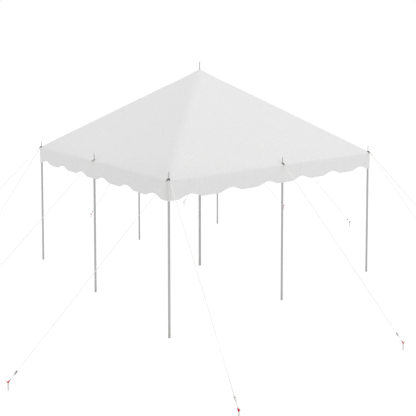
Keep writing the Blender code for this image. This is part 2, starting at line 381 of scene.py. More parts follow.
def fabric_material():
    """White coated polyester: faint mottling, a fine weave, small soft creases, and hanging streaks on the
    valance that are random tone with painted shade of hanging folds.
    """
    mat, tree = new_material("coated_fabric")
    where = object_place(tree)
    axes = parts_of(where)
    cloud = noise(where, 3.2, 4.0, 0.6)
    grain = noise(where, 26.0, 2.0, 0.7)
    # upright streaks, used on the valance: random tone with painted shade of hanging folds
    streak = noise(stretched(where, (22.0, 22.0, 1.4)), 1.0, 2.0, 0.6)
    on_valance = spread(axes[2], 3.082, 3.054)
    shared = tint_value(times(on_valance, 0.45), grain, streak)
    mixed = maths("ADD", times(cloud, 0.12), times(shared, 0.88))
    color = tint(spread(mixed, 0.36, 0.64), FABRIC_WHITE, FABRIC_SHADE)
    # painted shade: darker toward the front left corner and on the valance
    color = tint(painted_shade_tone(axes, on_valance), (0.0, 0.0, 0.0), color)
    warp = add_node("TexWave", {"Vector": where, "Scale": 160.0, "Distortion": 0.3, "Detail": 1.0},
                    bands_direction="Z")
    swept = bump(eave_sweep(axes), 1.0, 1.0)
    soft = bump(noise(where, 5.0, 3.0, 0.55), 0.1, 0.004, swept)
    return shaded(mat, {
        # painted shade down the valance at two corners, over the poles
        "Base Color": tint(corner_shade_mask(axes), color, FABRIC_CORNER_SHADE),
        "Roughness": spread(noise(where, 60.0, 3.0), 0.3, 0.7, 0.5, 0.62),
        "Normal": bump(warp.outputs["Fac"], 0.04, 0.0003, soft),
        "Specular IOR Level": 0.4})


def tube_material():
    """Dull galvanised steel: soft spangle, faint drawn lines and scuffs near the ground."""
    mat, tree = new_material("galvanised_tube")
    where = object_place(tree)
    cells = add_node("TexVoronoi", {"Vector": where, "Scale": 70.0})
    streak = noise(stretched(where, (90.0, 90.0, 1.6)), 1.0, 4.0, 0.6)
    low = spread(parts_of(where)[2], 0.02, 0.3, 1.0, 0.0)
    dirt = times(low, noise(where, 38.0, 5.0, 0.7))
    base = tint(cells.outputs["Color"], (0.42,) * 3, (0.47,) * 3)
    lined = tint(spread(streak, 0.35, 0.75, 0.0, 0.6), base, (0.41,) * 3)
    return shaded(mat, {
        "Base Color": tint(dirt, lined, (0.36, 0.34, 0.31)), "Metallic": 0.75,
        "Roughness": spread(streak, 0.2, 0.8, 0.38, 0.56),
        "Normal": bump(streak, 0.2, 0.0004)})


def bright_steel_material(name, light, dark, rough_low, rough_high):
    """Drawn or plated steel with fine lines along it and cloudy wear."""
    mat, tree = new_material(name)
    where = object_place(tree)
    streak = noise(stretched(where, (220.0, 220.0, 18.0)), 1.0, 3.0, 0.6)
    cloud = noise(where, 45.0, 4.0, 0.6)
    return shaded(mat, {
        "Base Color": tint(spread(cloud, 0.35, 0.7), light, dark), "Metallic": 0.85,
        "Roughness": spread(streak, 0.2, 0.8, rough_low, rough_high),
        "Normal": bump(streak, 0.25, 0.0003)})


def dark_steel_material(name, light, dark, rubbed_to):
    """Dark plated steel, rubbed brighter on its edges and corners."""
    mat, tree = new_material(name)
    where = object_place(tree)
    cloud = noise(where, 120.0, 5.0, 0.65)
    base = tint(spread(cloud, 0.35, 0.7), light, dark)
    rubbed = times(sharpness(tree, 0.54, 0.64), spread(noise(where, 300.0, 3.0), 0.4, 0.6, 0.2, 1.0))
    return shaded(mat, {
        "Base Color": tint(rubbed, base, rubbed_to), "Metallic": 0.6,
        "Roughness": spread(cloud, 0.2, 0.8, 0.34, 0.55),
        "Normal": bump(cloud, 0.3, 0.0003)})


def webbing_material(name, light, shade, thread=0.0016):
    """Woven polyester webbing, with its ribs across the band and a stitched edge.

    The attribute lay holds metres along the band, metres across it, and the stitching's share.
    """
    mat, tree = new_material(name)
    attribute = tree.nodes.new("ShaderNodeAttribute")
    attribute.attribute_name = "lay"
    lay = parts_of(attribute.outputs["Vector"])
    turns = 2.0 * pi / thread
    rib = maths("SINE", times(lay[0], turns))
    across = maths("SINE", times(lay[1], turns * 0.8))
    weave = times(rib, across)
    soil = noise(object_place(tree), 14.0, 5.0, 0.7)
    base = tint(spread(soil, 0.4, 0.75), light, shade)
    # painted shade in the low points of the weave
    weave_with_shade = tint(spread(weave, -1.0, 1.0, 0.3, 0.0), base, tuple(0.8 * c for c in light))
    stitch = maths("SINE", times(lay[0], 2.0 * pi / STITCH_PITCH))
    thread_on = times(maths("GREATER_THAN", stitch, -0.2), spread(lay[2], 0.5, 0.6))
    height = maths("ADD", weave, times(thread_on, 1.5))
    return shaded(mat, {
        "Base Color": tint(thread_on, weave_with_shade, tuple(0.75 * c for c in light)),
        "Roughness": 0.82, "Specular IOR Level": 0.25,
        "Normal": bump(height, 0.5, 0.0004)})


def paint_material():
    """Red paint on the stakes' plates, chipped to bare steel along edges."""
    mat, tree = new_material("red_stake_paint")
    where = object_place(tree)
    cloud = noise(where, 70.0, 5.0, 0.7)
    base = tint(spread(cloud, 0.35, 0.7), (0.6, 0.014, 0.03), (0.5, 0.01, 0.023))
    chip = times(sharpness(tree, 0.56, 0.66), spread(noise(where, 160.0, 4.0, 0.7), 0.52, 0.6))
    return shaded(mat, {
        "Base Color": tint(chip, base, (0.3, 0.27, 0.25)),
        "Roughness": spread(cloud, 0.2, 0.8, 0.34, 0.52),
        "Normal": bump(cloud, 0.25, 0.0004), "Specular IOR Level": 0.15})


FABRIC = fabric_material()
TRIM = webbing_material("white_binding", (0.735,) * 3, (0.71,) * 3, 0.0012)
STRIP = webbing_material("strip_webbing", (0.69,) * 3, (0.67,) * 3)
WEBBING = webbing_material("guy_webbing", (0.775, 0.773, 0.742), (0.7, 0.697, 0.665))
TUBE = tube_material()
PIN_STEEL = bright_steel_material("pin_steel", (0.4,) * 3, (0.34,) * 3, 0.3, 0.46)
ROD_STEEL = bright_steel_material("rod_steel", (0.68, 0.68, 0.69), (0.55,) * 3, 0.36, 0.55)
ZINC = bright_steel_material("zinc_plate", (0.84, 0.84, 0.82), (0.74, 0.74, 0.72), 0.32, 0.5)
PLATE_STEEL = dark_steel_material("dark_plated_steel", (0.055, 0.055, 0.052), (0.095, 0.093, 0.088),
                                  (0.3, 0.29, 0.27))
FRAME_STEEL = dark_steel_material("grey_plated_steel", (0.095, 0.095, 0.09), (0.125, 0.123, 0.118),
                                  (0.34, 0.33, 0.32))
PAINT = paint_material()

# Canopy: rings of a rounded square, from the pin hole at the peak down to the hem
SHEET_T = 0.0012
RC_ROOF = 0.155  # rounding of the hips, in plan
RC_EAVE = 0.014
RC_HEM = 0.02
FOLD_AT_POLE = 0.04
FOLD_BETWEEN = 0.125
EAVE_RISE = 0.007  # the sheet stands this much over the flat slope by the eave
PANEL_SAG = 0.009
ARC_CELLS = 8
CELLS = (40, 56, 16)  # of a half side: by the corner, between, by the middle pole
CELL_ENDS = (0.6, 2.75)  # where those stretches end, in metres from the corner
RIM_START = 2.93  # from here out to the fold the rows follow the fold's start
PRESSED_Z = 3.1052  # the sheet stays under this where an eye presses on it
MIDDLE_HOLE_Z = 3.0954  # of the sheet round a middle pin
CORNER_HOLE_Z = 3.0866
ROOF_ANGLE = atan(SLOPE)


def half_side_shares():
    """Places of the columns on the straight part of a side, from -1 by one corner to 1."""
    metres = np.interp(np.arange(sum(CELLS) + 1), np.cumsum((0, *CELLS)), (0.0, *CELL_ENDS, HALF))
    half = metres / HALF - 1.0
    return np.concatenate([half, -half[-2::-1]])


def side_columns():
    """For each column of one side: (kind, value). The corner's middle starts it.

    Kind 0 is on the straight part, with its share of the half side; -1 and 1 are on the rounded
    corners, with the angle from the side's own direction.
    """
    turns = np.linspace(pi / 4, 0.0, ARC_CELLS + 1)[:-1]
    return [(-1, t) for t in turns] + [(0, s) for s in half_side_shares()] + [(1, t) for t in turns[:0:-1]]


KIND, VALUE = np.array(side_columns()).T
PER_SIDE = len(KIND)


def hip_rounding(rho):
    grown = RC_ROOF * (1.0 - np.exp(-rho / RC_ROOF))
    return grown + (RC_EAVE - grown) * smooth(rho, 2.75, 3.03)


def ring(rho, rc):
    """Side coordinates of one side's columns: along, outward, and the outward normal's two parts."""
    flat = rho - rc
    along = np.where(KIND == 0, VALUE * flat, KIND * (flat + rc * np.sin(VALUE)))
    outward = np.where(KIND == 0, rho, flat + rc * np.cos(VALUE))
    normal_along = np.where(KIND == 0, 0.0, KIND * np.sin(VALUE))
    normal_out = np.where(KIND == 0, 1.0, np.cos(VALUE))
    return along, outward, normal_along, normal_out


def turn_side(side, along, outward):
    """World X and Y of a side's coordinates; the sides run anticlockwise from the front."""
    return ((along, -outward), (outward, along), (-along, outward), (-outward, -along))[side]


def pole_distance(along):
    return np.minimum(np.abs(np.abs(along) - BAY), np.abs(along))


def eave_rise(rho, along):
    return EAVE_RISE * smooth(rho, 2.2, 2.9) * smooth(pole_distance(along), 0.06, 0.4)


def lift(rho, along, outward):
    """Height over the flat slope: hips as high as they would be unrounded, panels that sag."""
    across = np.maximum(outward - np.abs(along), 0.0) / sqrt(2.0)
    hip = 0.2071 * hip_rounding(rho) + 0.005 * smooth(rho, 0.9, 1.5) * (1.0 - smooth(rho, 2.85, 3.05))
    hip = hip - 0.013 * np.exp(-((rho - 0.34) / 0.24) ** 2) * smooth(rho, 0.05, 0.2)
    hip = hip * np.exp(-(across / 0.45) ** 2)
    hollow = PANEL_SAG * (1.0 - np.exp(-(across / 0.8) ** 2))
    hollow = hollow * np.sin(pi * np.clip(rho / HALF, 0.0, 1.0)) ** 0.8
    return hip - hollow


def hem_height(along, way):
    """Height of the scalloped hem; way is 1 where the pattern starts at along = -HALF."""
    start = along * way + HALF
    height = np.full_like(along, HEM_Z)
    for k in range(ARCHES):
        s = np.abs(start - (ARCH_FIRST + ARCH_PITCH * k)) / ARCH_HALF
        rise = ARCH_RISE * np.cos(np.clip(s, 0.0, 1.0) * pi / 2) ** ARCH_POWER
        height = np.maximum(height, HEM_Z + rise)
    return height


# Valance creases: side, place along it, height, length, depth
CREASES = [
    (0, -1.13, 2.958, 0.24, 0.0085), (0, -1.2, 3.02, 0.16, 0.0018), (0, 1.59, 2.967, 0.26, 0.0085),
    (3, -1.235, 2.96, 0.24, 0.008), (3, 1.571, 2.96, 0.26, 0.008), (3, 1.49, 3.02, 0.16, 0.0018),
    (1, -0.96, 2.962, 0.24, 0.0058), (1, 1.42, 2.955, 0.26, 0.0058),
    (2, -1.38, 2.96, 0.26, 0.0058), (2, 1.05, 2.966, 0.22, 0.004),
]
# Groups of upright pleats: side, middle, half width, spacing, depth
PLEATS = [
    (0, -2.28, 0.34, 0.056, 0.003), (0, 0.07, 0.28, 0.078, 0.0012), (0, 2.55, 0.26, 0.082, 0.0014),
    (3, 2.45, 0.26, 0.08, 0.0009), (3, -0.05, 0.28, 0.075, 0.001), (3, -2.5, 0.26, 0.08, 0.0009),
    (1, -2.4, 0.28, 0.076, 0.0012), (1, 0.1, 0.3, 0.072, 0.0012), (1, 2.5, 0.26, 0.08, 0.001),
    (2, -2.45, 0.26, 0.078, 0.0011), (2, -0.06, 0.28, 0.074, 0.0011), (2, 2.35, 0.3, 0.07, 0.0014),
]


def valance_swing(side, along, z):
    """How far the valance stands out from flat at a place on it."""
    depth = np.clip((3.05 - z) / 0.37, 0.0, 1.0)
    wide = 0.0022 * np.sin(2 * pi * along / 1.37 + 1.3 * side)
    wide = wide + 0.0013 * np.sin(2 * pi * along / 0.52 + 2.1 * side + 0.7)
    swing = wide * depth
    for owner, middle, half, spacing, size in PLEATS:
        if owner == side:
            off = along - middle
            wave = np.sin(2 * pi * off / spacing + 1.7 * np.sin(off * 5.0) + 2.0 * depth)
            fade = np.exp(-(off / half) ** 2) * (0.45 + 0.55 * np.sin(pi * depth))
            swing = swing + size * wave * fade
    for owner, middle, height, length, size in CREASES:
        if owner == side:
            bow = height + 0.006 * np.sin((along - middle) / length * 3.0)
            over = z - bow
            lip = np.where(over > 0, np.exp(-(over / 0.035) ** 2), np.exp(-(over / 0.009) ** 2))
            swing = swing + size * lip * np.exp(-((along - middle) / (0.5 * length)) ** 4)
    return swing * smooth(HALF - np.abs(along), 0.06, 0.22)


def canopy_rows():
    """Every row of columns from the peak down, as (points, column step).

    A row has one point for each column of all four sides. The step is 8, 4, 2 or 1, where only
    every eighth, fourth or second column is used.
    """
    rows = []
    for kind, step, values in (
            ("roof", 8, (0.0125, 0.022, 0.038, 0.06, 0.09, 0.13, 0.18, 0.24, 0.31, 0.39, 0.48,
                         0.58, 0.69, 0.8, 0.91)),
            ("roof", 4, np.linspace(1.02, 2.12, 17)),
            ("roof", 2, np.linspace(2.19, 2.87, 11)),
            ("rim", 1, (0.0, 0.28, 0.52, 0.7, 0.86, 1.0)),
            ("fold", 1, (0.2, 0.4, 0.6, 0.8, 1.0)),
            ("drop", 1, (0.035, 0.07, 0.105, 0.14, 0.17, 0.195, 0.22, 0.245, 0.27, 0.295, 0.325, 0.37,
                         0.43, 0.5, 0.58, 0.66, 0.74, 0.81, 0.87, 0.92, 0.96, 1.0))):
        for value in values:
            rows.append((np.concatenate([row_points(kind, value, side) for side in range(4)]), step))
    return rows


def row_points(kind, value, side):
    """Points of one side's columns on a row: roof, rim before the fold, fold, or drop of the valance."""
    way = 1 if side % 2 == 0 else -1
    probe = ring(np.full(PER_SIDE, HALF), np.full(PER_SIDE, RC_EAVE))[0]
    fold = FOLD_AT_POLE + (FOLD_BETWEEN - FOLD_AT_POLE) * smooth(pole_distance(probe), 0.1, 0.75)
    start_rho = HALF - fold * (1.0 - sin(ROOF_ANGLE))
    fall = fold * (1.0 - sin(ROOF_ANGLE)) / cos(ROOF_ANGLE)
    eave_z = APEX_Z - SLOPE * HALF
    swing = 0.0
    if kind in ("roof", "rim"):
        rho = np.full(PER_SIDE, value) if kind == "roof" else RIM_START + (start_rho - RIM_START) * value
        along, outward, normal_along, normal_out = ring(rho, hip_rounding(rho))
        z = APEX_Z - SLOPE * rho + lift(rho, along, outward) + eave_rise(rho, along)
    elif kind == "fold":
        turn = ROOF_ANGLE + value * (pi / 2 - ROOF_ANGLE)
        rho = HALF - fold + fold * np.sin(turn)
        z = eave_z - fall + fold * np.cos(turn)
        along, outward, normal_along, normal_out = ring(rho, hip_rounding(rho))
        at_start = ring(start_rho, hip_rounding(start_rho))
        z = z + lift(start_rho, at_start[0], at_start[1]) * (1.0 - value) + eave_rise(rho, along)
    else:
        rho = np.full(PER_SIDE, HALF)
        rc = RC_EAVE + (RC_HEM - RC_EAVE) * smooth(value, 0.0, 0.35)
        along, outward, normal_along, normal_out = ring(rho, np.full(PER_SIDE, rc))
        top = eave_z - fall + eave_rise(rho, along)
        z = top + (hem_height(along, way) - top) * value
        swing = valance_swing(side, along, z)
    along = along + normal_along * swing
    outward = outward + normal_out * swing
    if kind in ("rim", "fold"):
        near_pin = np.hypot(pole_distance(along), outward - BAY)
        z = np.minimum(z, PRESSED_Z + 0.7 * np.maximum(near_pin - 0.018, 0.0))
    x, y = turn_side(side, along, outward)
    return np.stack([x, y, z], axis=1)


def canopy_mesh():
    """The sheet's outer face. Where a row has half the columns of the next, its faces have five corners."""
    bm = bmesh.new()
    rings = []
    for points, step in canopy_rows():
        rings.append([bm.verts.new(point) for point in points[::step]])
    for low, high in zip(rings, rings[1:]):
        for i in range(len(low)):
            j = (i + 1) % len(low)
            if len(high) == len(low):
                bm.faces.new((low[i], high[i], high[j], low[j]))
            else:
                bm.faces.new((low[i], high[2 * i], high[2 * i + 1], high[2 * j], low[j]))
    for x, y in POLES.values():
        open_hole(bm, x, y, 0.017, PIN_R + 0.0025)
    mesh = bpy.data.meshes.new("canopy")
    bm.to_mesh(mesh)
    bm.free()
    return mesh


def open_hole(bm, x, y, cut, radius):
    """Takes out the faces round a pin and closes up to a round hole."""
    def by_pin(at, reach):
        return at.z > 3.0 and hypot(at.x - x, at.y - y) < reach

    doomed = [face for face in bm.faces if by_pin(face.calc_center_median(), cut)]
    bmesh.ops.delete(bm, geom=doomed, context="FACES")
    edges = [edge for edge in bm.edges
             if edge.is_boundary and by_pin((edge.verts[0].co + edge.verts[1].co) / 2, 3 * cut)]
    rest_z = MIDDLE_HOLE_Z if min(abs(x), abs(y)) < 1.0 else CORNER_HOLE_Z
    inner = {}
    for edge in edges:
        for vert in edge.verts:
            if vert not in inner:
                away = Vector((vert.co.x - x, vert.co.y - y))
                share = radius / away.length
                z = rest_z + (vert.co.z - rest_z) * share
                inner[vert] = bm.verts.new((x + away.x * share, y + away.y * share, z))
    for edge in edges:
        loop = edge.link_loops[0]
        first, second = loop.vert, loop.link_loop_next.vert
        bm.faces.new((second, first, inner[first], inner[second]))


def thicken(piece):
    """Gives the sheet its thickness, inward from the outer face."""
    modifier = piece.modifiers.new("thickness", "SOLIDIFY")
    modifier.thickness = SHEET_T
    modifier.offset = -1.0
    bpy.context.view_layer.update()
    mesh = bpy.data.meshes.new_from_object(piece.evaluated_get(bpy.context.evaluated_depsgraph_get()))
    mesh.polygons.foreach_set("use_smooth", [True] * len(mesh.polygons))
    piece.modifiers.clear()
    old = piece.data
    piece.data = mesh
    bpy.data.meshes.remove(old)
    mesh.name = piece.name


ROOF_NODES = [kind + side for kind in ("roof_", "valance_") for side in SIDES]
canopy = link_mesh("canopy", canopy_mesh(), FABRIC, ROOF_NODES)
outer = BVHTree.FromPolygons([v.co.copy() for v in canopy.data.vertices],
                             [tuple(p.vertices) for p in canopy.data.polygons])
thicken(canopy)


def roof_height(x, y):
    """Height of the sheet's outer face."""
    return outer.ray_cast(Vector((x, y, 6.0)), Vector((0.0, 0.0, -1.0)))[0].z


def strip_on_roof(bm, lays, start, end, width, thick, over, steps, across=4, taper=0.0):
    """Adds a flat strip that follows the roof, its under side at over from the sheet's face."""
    start, end = Vector(start), Vector(end)
    length = (end - start).length
    run = (end - start) / length
    side = Vector((-run.y, run.x))
    rings = []
    for i in range(steps + 1):
        at_end = i in (0, steps)
        half = width / 2 * (1.0 - taper * at_end)
        top, under = [], []
        for k in range(across + 1):
            v = -half + 2 * half * k / across
            x, y = start + run * (length * i / steps) + side * v
            z = roof_height(x, y) + over
            edge = 0.4 if at_end or k in (0, across) else 1.0
            stitch = 1.0 if at_end or k in (1, across - 1) else 0.0
            top.append(((x, y, z + thick * edge), (length * i / steps, v, stitch)))
            under.append(((x, y, z), (length * i / steps, v, 0.0)))
        rings.append([])
        for at, lay in top + under[::-1]:
            rings[-1].append(bm.verts.new(at))
            lays.append(lay)
    join_rings(bm, rings)
    bm.faces.new(rings[0])
    bm.faces.new(rings[-1])


def make_seams():
    """Raised welded seams where the widths of fabric join, up each slope."""
    bm, lays = bmesh.new(), []
    for side in range(4):
        for along in (-2.31, -0.77, 0.77, 2.31):
            low = turn_side(side, along, HALF - 0.075)
            high = turn_side(side, along, abs(along) + 0.16)
            steps = int((HALF - abs(along)) / 0.045)
            strip_on_roof(bm, lays, low, high, 0.022, 0.0003, 0.0, steps, 2)
    return make_piece(bm, "panel_seams", FABRIC, crisp=30, lays=lays)


def make_pin_strips():
    """Sewn webbing that spreads the pull of each middle pin up the slope."""
    bm, lays = bmesh.new(), []
    for side in range(4):
        low = turn_side(side, 0.0, BAY - 0.02)
        high = turn_side(side, 0.0, BAY - 0.115)
        strip_on_roof(bm, lays, low, high, 0.022, 0.001, 0.0, 8, 4)
    return make_piece(bm, "pin_strips", STRIP, lays=lays)


def make_under_patches():
    """Reinforcement sewn under the roof: along the hips and at every middle pin."""
    bm, lays = bmesh.new(), []
    under = -SHEET_T - 0.0022
    for x, y in ((-1, -1), (1, -1), (1, 1), (-1, 1)):
        strip_on_roof(bm, lays, (x * 2.98, y * 2.98), (x * 0.1, y * 0.1), 0.05, 0.0014,
                      under - 0.0008, 60, 6)
    for side in range(4):
        strip_on_roof(bm, lays, turn_side(side, 0.0, 3.02), turn_side(side, 0.0, 2.8),
                      0.16, 0.0012, under, 8, 6, 0.35)
    return make_piece(bm, "under_webbing", TRIM, lays=lays)


def make_peak_patch():
    """A round reinforcement on the peak, with its sewn edge."""
    bm, lays = bmesh.new(), []
    radii = [0.02, 0.045, 0.075, 0.105, 0.128, 0.14]
    count = 48
    rings = []
    for upper, order in ((True, radii), (False, radii[::-1])):
        for radius in order:
            rise = 0.0005
            if upper:
                rise += 0.0005 if radius == radii[-1] else 0.001
            rings.append([])
            for i, (x, y) in enumerate(circle(0.0, 0.0, radius, count)):
                rings[-1].append(bm.verts.new((x, y, roof_height(x, y) + rise)))
                sewn = upper and radius == radii[-2]
                lays.append((radius * 2 * pi * i / count, radius, 1.0 if sewn else 0.0))
    join_rings(bm, rings + rings[:1])
    return make_piece(bm, "peak_patch", FABRIC, crisp=30, lays=lays)


def band_at(name, shares, proud, inner, z_shift=0.0):
    """A closed band sewn along the valance between two shares of its drop, on one of its faces."""
    upper, lower = [np.concatenate([row_points("drop", share, side) for side in range(4)])
                    for share in shares]
    normal = []
    for side in range(4):
        x, y = turn_side(side, *ring(np.full(PER_SIDE, HALF), np.full(PER_SIDE, RC_HEM))[2:])
        normal.append(np.stack([x, y, np.zeros(PER_SIDE)], axis=1))
    normal = np.concatenate(normal)
    down = np.array([0.0, 0.0, z_shift])
    lengths = np.cumsum(np.linalg.norm(np.roll(upper, -1, 0) - upper, axis=1))
    bm, lays, rings = bmesh.new(), [], []
    for points in (upper + normal * proud, lower + normal * proud + down,
                   lower + normal * inner + down, upper + normal * inner):
        rings.append([bm.verts.new(point) for point in points])
        lays.extend((length, 0.004 * len(rings), 0.0) for length in lengths)
    join_rings(bm, rings + rings[:1])
    return make_piece(bm, name, TRIM, lays=lays)


seams = make_seams()
pin_strips = make_pin_strips()
under_webbing = make_under_patches()
peak_patch = make_peak_patch()
hem = band_at("hem_binding", (0.955, 1.0), 0.0007, -SHEET_T - 0.0007, -0.0007)
eave_band = band_at("eave_webbing", (0.0, 0.075), -SHEET_T - 0.0004, -SHEET_T - 0.002)


# Fittings where each pin comes up through the roof
def add_rings(bm, profile, place, sides):
    """Adds a closed ring round Z: the profile runs all the way round its section."""
    rings = []
    for radius, z in profile:
        rings.append([bm.verts.new(place @ Vector((a, b, z))) for a, b in circle(0, 0, radius, sides)])
    join_rings(bm, rings + rings[:1])


def make_pin_collars():
    """Spacers between the tops of the tubes and the eye plates."""
    bm = bmesh.new()
    profile = [(0.0087, 3.0738), (0.0118, 3.0738), (0.0118, 3.104), (0.0135, 3.1052), (0.0135, 3.1064),
               (0.0126, 3.107), (0.0087, 3.107)]
    for x, y in POLES.values():
        add_rings(bm, profile, shift(x, y, 0.0), 32)
    make_piece(bm, "pin_collars", PIN_STEEL, (), 35)


def make_washers():
    """A washer over the topmost eye plate on each pin."""
    bm = bmesh.new()
    profile = [(0.0085, 0.0), (0.0166, 0.0), (0.0172, 0.0005), (0.0172, 0.0012), (0.016, 0.002),
               (0.0085, 0.0021)]
    for pole, (x, y) in POLES.items():
        eyes = sum(guy[0].startswith(pole) for guy in GUYS)
        add_rings(bm, profile, shift(x, y, EYE_Z + EYE_STEP * (eyes - 1) + 0.0019), 32)
    make_piece(bm, "washers", ZINC, (), 35)


def make_grommets():
    """Steel grommets set in the sheet, tilted with the slope round each pin."""
    bm = bmesh.new()
    profile = [(0.0108, -0.003), (0.0215, -0.0024), (0.0225, -0.0016), (0.0222, 0.001),
               (0.018, 0.0022), (0.0135, 0.0024), (0.0112, 0.0012)]
    probe = 0.03
    for x, y in POLES.values():
        reach = hypot(x, y)
        inward = roof_height(x - x / reach * probe, y - y / reach * probe)
        tilt = atan(SLOPE * BAY / reach)
        place = shift(x, y, inward - probe * tan(tilt) + 0.0002)
        add_rings(bm, profile, place @ rotation(atan2(y, x), "Z") @ rotation(tilt, "Y"), 32)
    return make_piece(bm, "grommets", PIN_STEEL, (), 50)


def make_peak_ring():
    bm = bmesh.new()
    profile = [(0.0102, 5.158), (0.03, 5.158), (0.03, 5.164), (0.0215, 5.1745), (0.0215, 5.18),
               (0.02, 5.1815), (0.0115, 5.1835), (0.0102, 5.1835)]
    add_rings(bm, profile, Matrix.Identity(4), 40)
    make_piece(bm, "peak_ring", PIN_STEEL, (), 35)


make_pin_collars()
make_washers()
grommets = make_grommets()
make_peak_ring()


# Poles: a tube with a rolled foot, a plug at its top and a pin
def make_pole(name, node, x, y, radius, tube_top, pin_radius, pin_top):
    place = shift(x, y, 0.0)
    bore = radius - 0.0022
    bm = bmesh.new()
    tube = [(0.0, 0.0), (radius - 0.0035, 0.0), (radius - 0.0008, 0.0012), (radius + 0.0006, 0.0045),
            (radius + 0.0006, 0.016), (radius, 0.0185), (radius, tube_top - 0.0042),
            (radius - 0.0008, tube_top - 0.0032), (bore, tube_top - 0.003)]
    plug = [(bore - 0.0004, tube_top - 0.0008), (bore - 0.0016, tube_top), (pin_radius + 0.0045, tube_top),
            (pin_radius + 0.003, tube_top + 0.0008), (0.0, tube_top + 0.0008)]
    add_turned(bm, tube + plug, 48, place)
    make_piece(bm, "tube_" + name, TUBE, (node,), 35)
    bm = bmesh.new()
    tip = 0.0072
    pin = [(0.0, tube_top - 0.004), (pin_radius, tube_top - 0.004), (pin_radius, pin_top - tip)]
    for step in range(1, 6):
        turn = pi / 2 * step / 6
        pin.append((pin_radius - 0.005 * (1 - cos(turn)), pin_top - tip * (1 - sin(turn))))
    pin += [(pin_radius * 0.3, pin_top), (0.0, pin_top)]
    add_turned(bm, pin, 32, place)
    make_piece(bm, "pin_" + name, PIN_STEEL, (node,), 40)


for pole_name, (pole_x, pole_y) in POLES.items():
    make_pole(pole_name, "side_pole_" + pole_name, pole_x, pole_y,
              SIDE_TUBE_R, SIDE_TUBE_TOP, PIN_R, PIN_TOP)
make_pole("centre", "centre_pole", 0.0, 0.0,
          CENTRE_TUBE_R, CENTRE_TUBE_TOP, CENTRE_PIN_R, CENTRE_PIN_TOP)


# Guys
def band_section(width, thick, edge):
    """Section of a strap with rounded edges, as (across, up) points."""
    half, rise = width / 2, thick / 2
    top = [(-half, 0.0), (-half + edge * 0.3, rise * 0.75), (-half + edge, rise), (-half + 3 * edge, rise),
           (0.0, rise), (half - 3 * edge, rise), (half - edge, rise), (half - edge * 0.3, rise * 0.75)]
    return top + [(-across, -up) for across, up in top]


def add_band(bm, lays, place, path, width, thick, stitched=(), twist=0.0):
    """Adds a strap along path, points in the guy's XZ plane; stitched are ranges of its length.

    The strap turns by twist about its own line, away from its ends.
    """
    section = band_section(width, thick, min(0.0012, thick * 0.45))
    points = [Vector(p) for p in path]
    total = sum((b - a).length for a, b in zip(points, points[1:]))
    run = 0.0
    rings = []
    for i, point in enumerate(points):
        if i:
            run += (point - points[i - 1]).length
        aim = (points[min(i + 1, len(points) - 1)] - points[max(i - 1, 0)]).normalized()
        up = Vector((-aim.y, aim.x))
        sewn = any(low <= run <= high for low, high in stitched)
        turn = twist * float(smooth(run, 0.24, 0.7) * smooth(total - run, 0.1, 0.5))
        rings.append([])
        for across, rise in section:
            at = point + up * (rise * cos(turn) - across * sin(turn))
            level = across * cos(turn) + rise * sin(turn)
            rings[-1].append(bm.verts.new(place @ Vector((at.x, level, at.y))))
            on_line = abs(abs(across) - (width / 2 - 0.0036)) < 0.0006 or abs(across) < 1e-6
            lays.append((run, across, 1.0 if on_line and sewn else 0.0))
    join_rings(bm, rings)
    bm.faces.new(rings[0])
    bm.faces.new(rings[-1])


def lobed_outline(*circles):
    """Convex outline round circles, each given by its middle and radius."""
    cloud = []
    for x, y, radius in circles:
        cloud.extend(circle(x, y, radius, 24))
    return [cloud[i] for i in convex_hull_2d(cloud)]


def on_guy(down, up, middle):
    """Places a body with its X down the guy and its Z away from the guy's under side."""
    return Matrix(((down.x, 0.0, up.x, middle.x), (0.0, 1.0, 0.0, 0.0), (down.y, 0.0, up.y, middle.y),
                   (0.0, 0.0, 0.0, 1.0)))


def add_eye_plate(bm, bend, down, up):
    """The steel eye plate: level over the pin, then bent down in line with the guy, slotted at its end."""
    thick = 0.0034
    eye = [circle(0.0, 0.0, 0.0165, 28), circle(0.0, 0.0, 0.0085, 24)]
    add_plate(bm, eye, thick, 0.0005, shift(0.0, 0.0, bend.y))
    # The neck with its soft bend
    path = [Vector((0.012, bend.y)), Vector((EYE_BEND - 0.004, bend.y))]
    for step in range(1, 5):
        t = step / 5
        first = Vector((EYE_BEND - 0.004 * (1 - t), bend.y))
        path.append(first.lerp(bend + down * 0.004 * t, t))
    path += [bend + down * 0.004, bend + down * 0.014]
    add_band(bm, [], Matrix.Identity(4), path, 0.02, thick)
    rim = lobed_outline((0.014, 0.007, 0.005), (0.014, -0.007, 0.005), (0.0575, 0.0095, 0.006),
                        (0.0575, -0.0095, 0.006))
    window = rounded_box(EYE_SLOT, EYE_SLOT + 0.008, -0.011, 0.011, 0.002)
    add_plate(bm, [rim, window], thick, 0.0005, on_guy(down, up, bend))


def toothed_outline(x, y, radius, depth, teeth):
    points = []
    for i in range(teeth):
        for share, out in ((0.0, radius - depth), (0.3, radius), (0.62, radius)):
            points.append(polar(x, y, out, 2 * pi * (i + share) / teeth))
    return points


def across_guy(x, y, z):
    """Places a flat outline in XZ, or a body turned round Z so that it runs along Y."""
    return shift(x, y, z) @ rotation(pi / 2, "X")


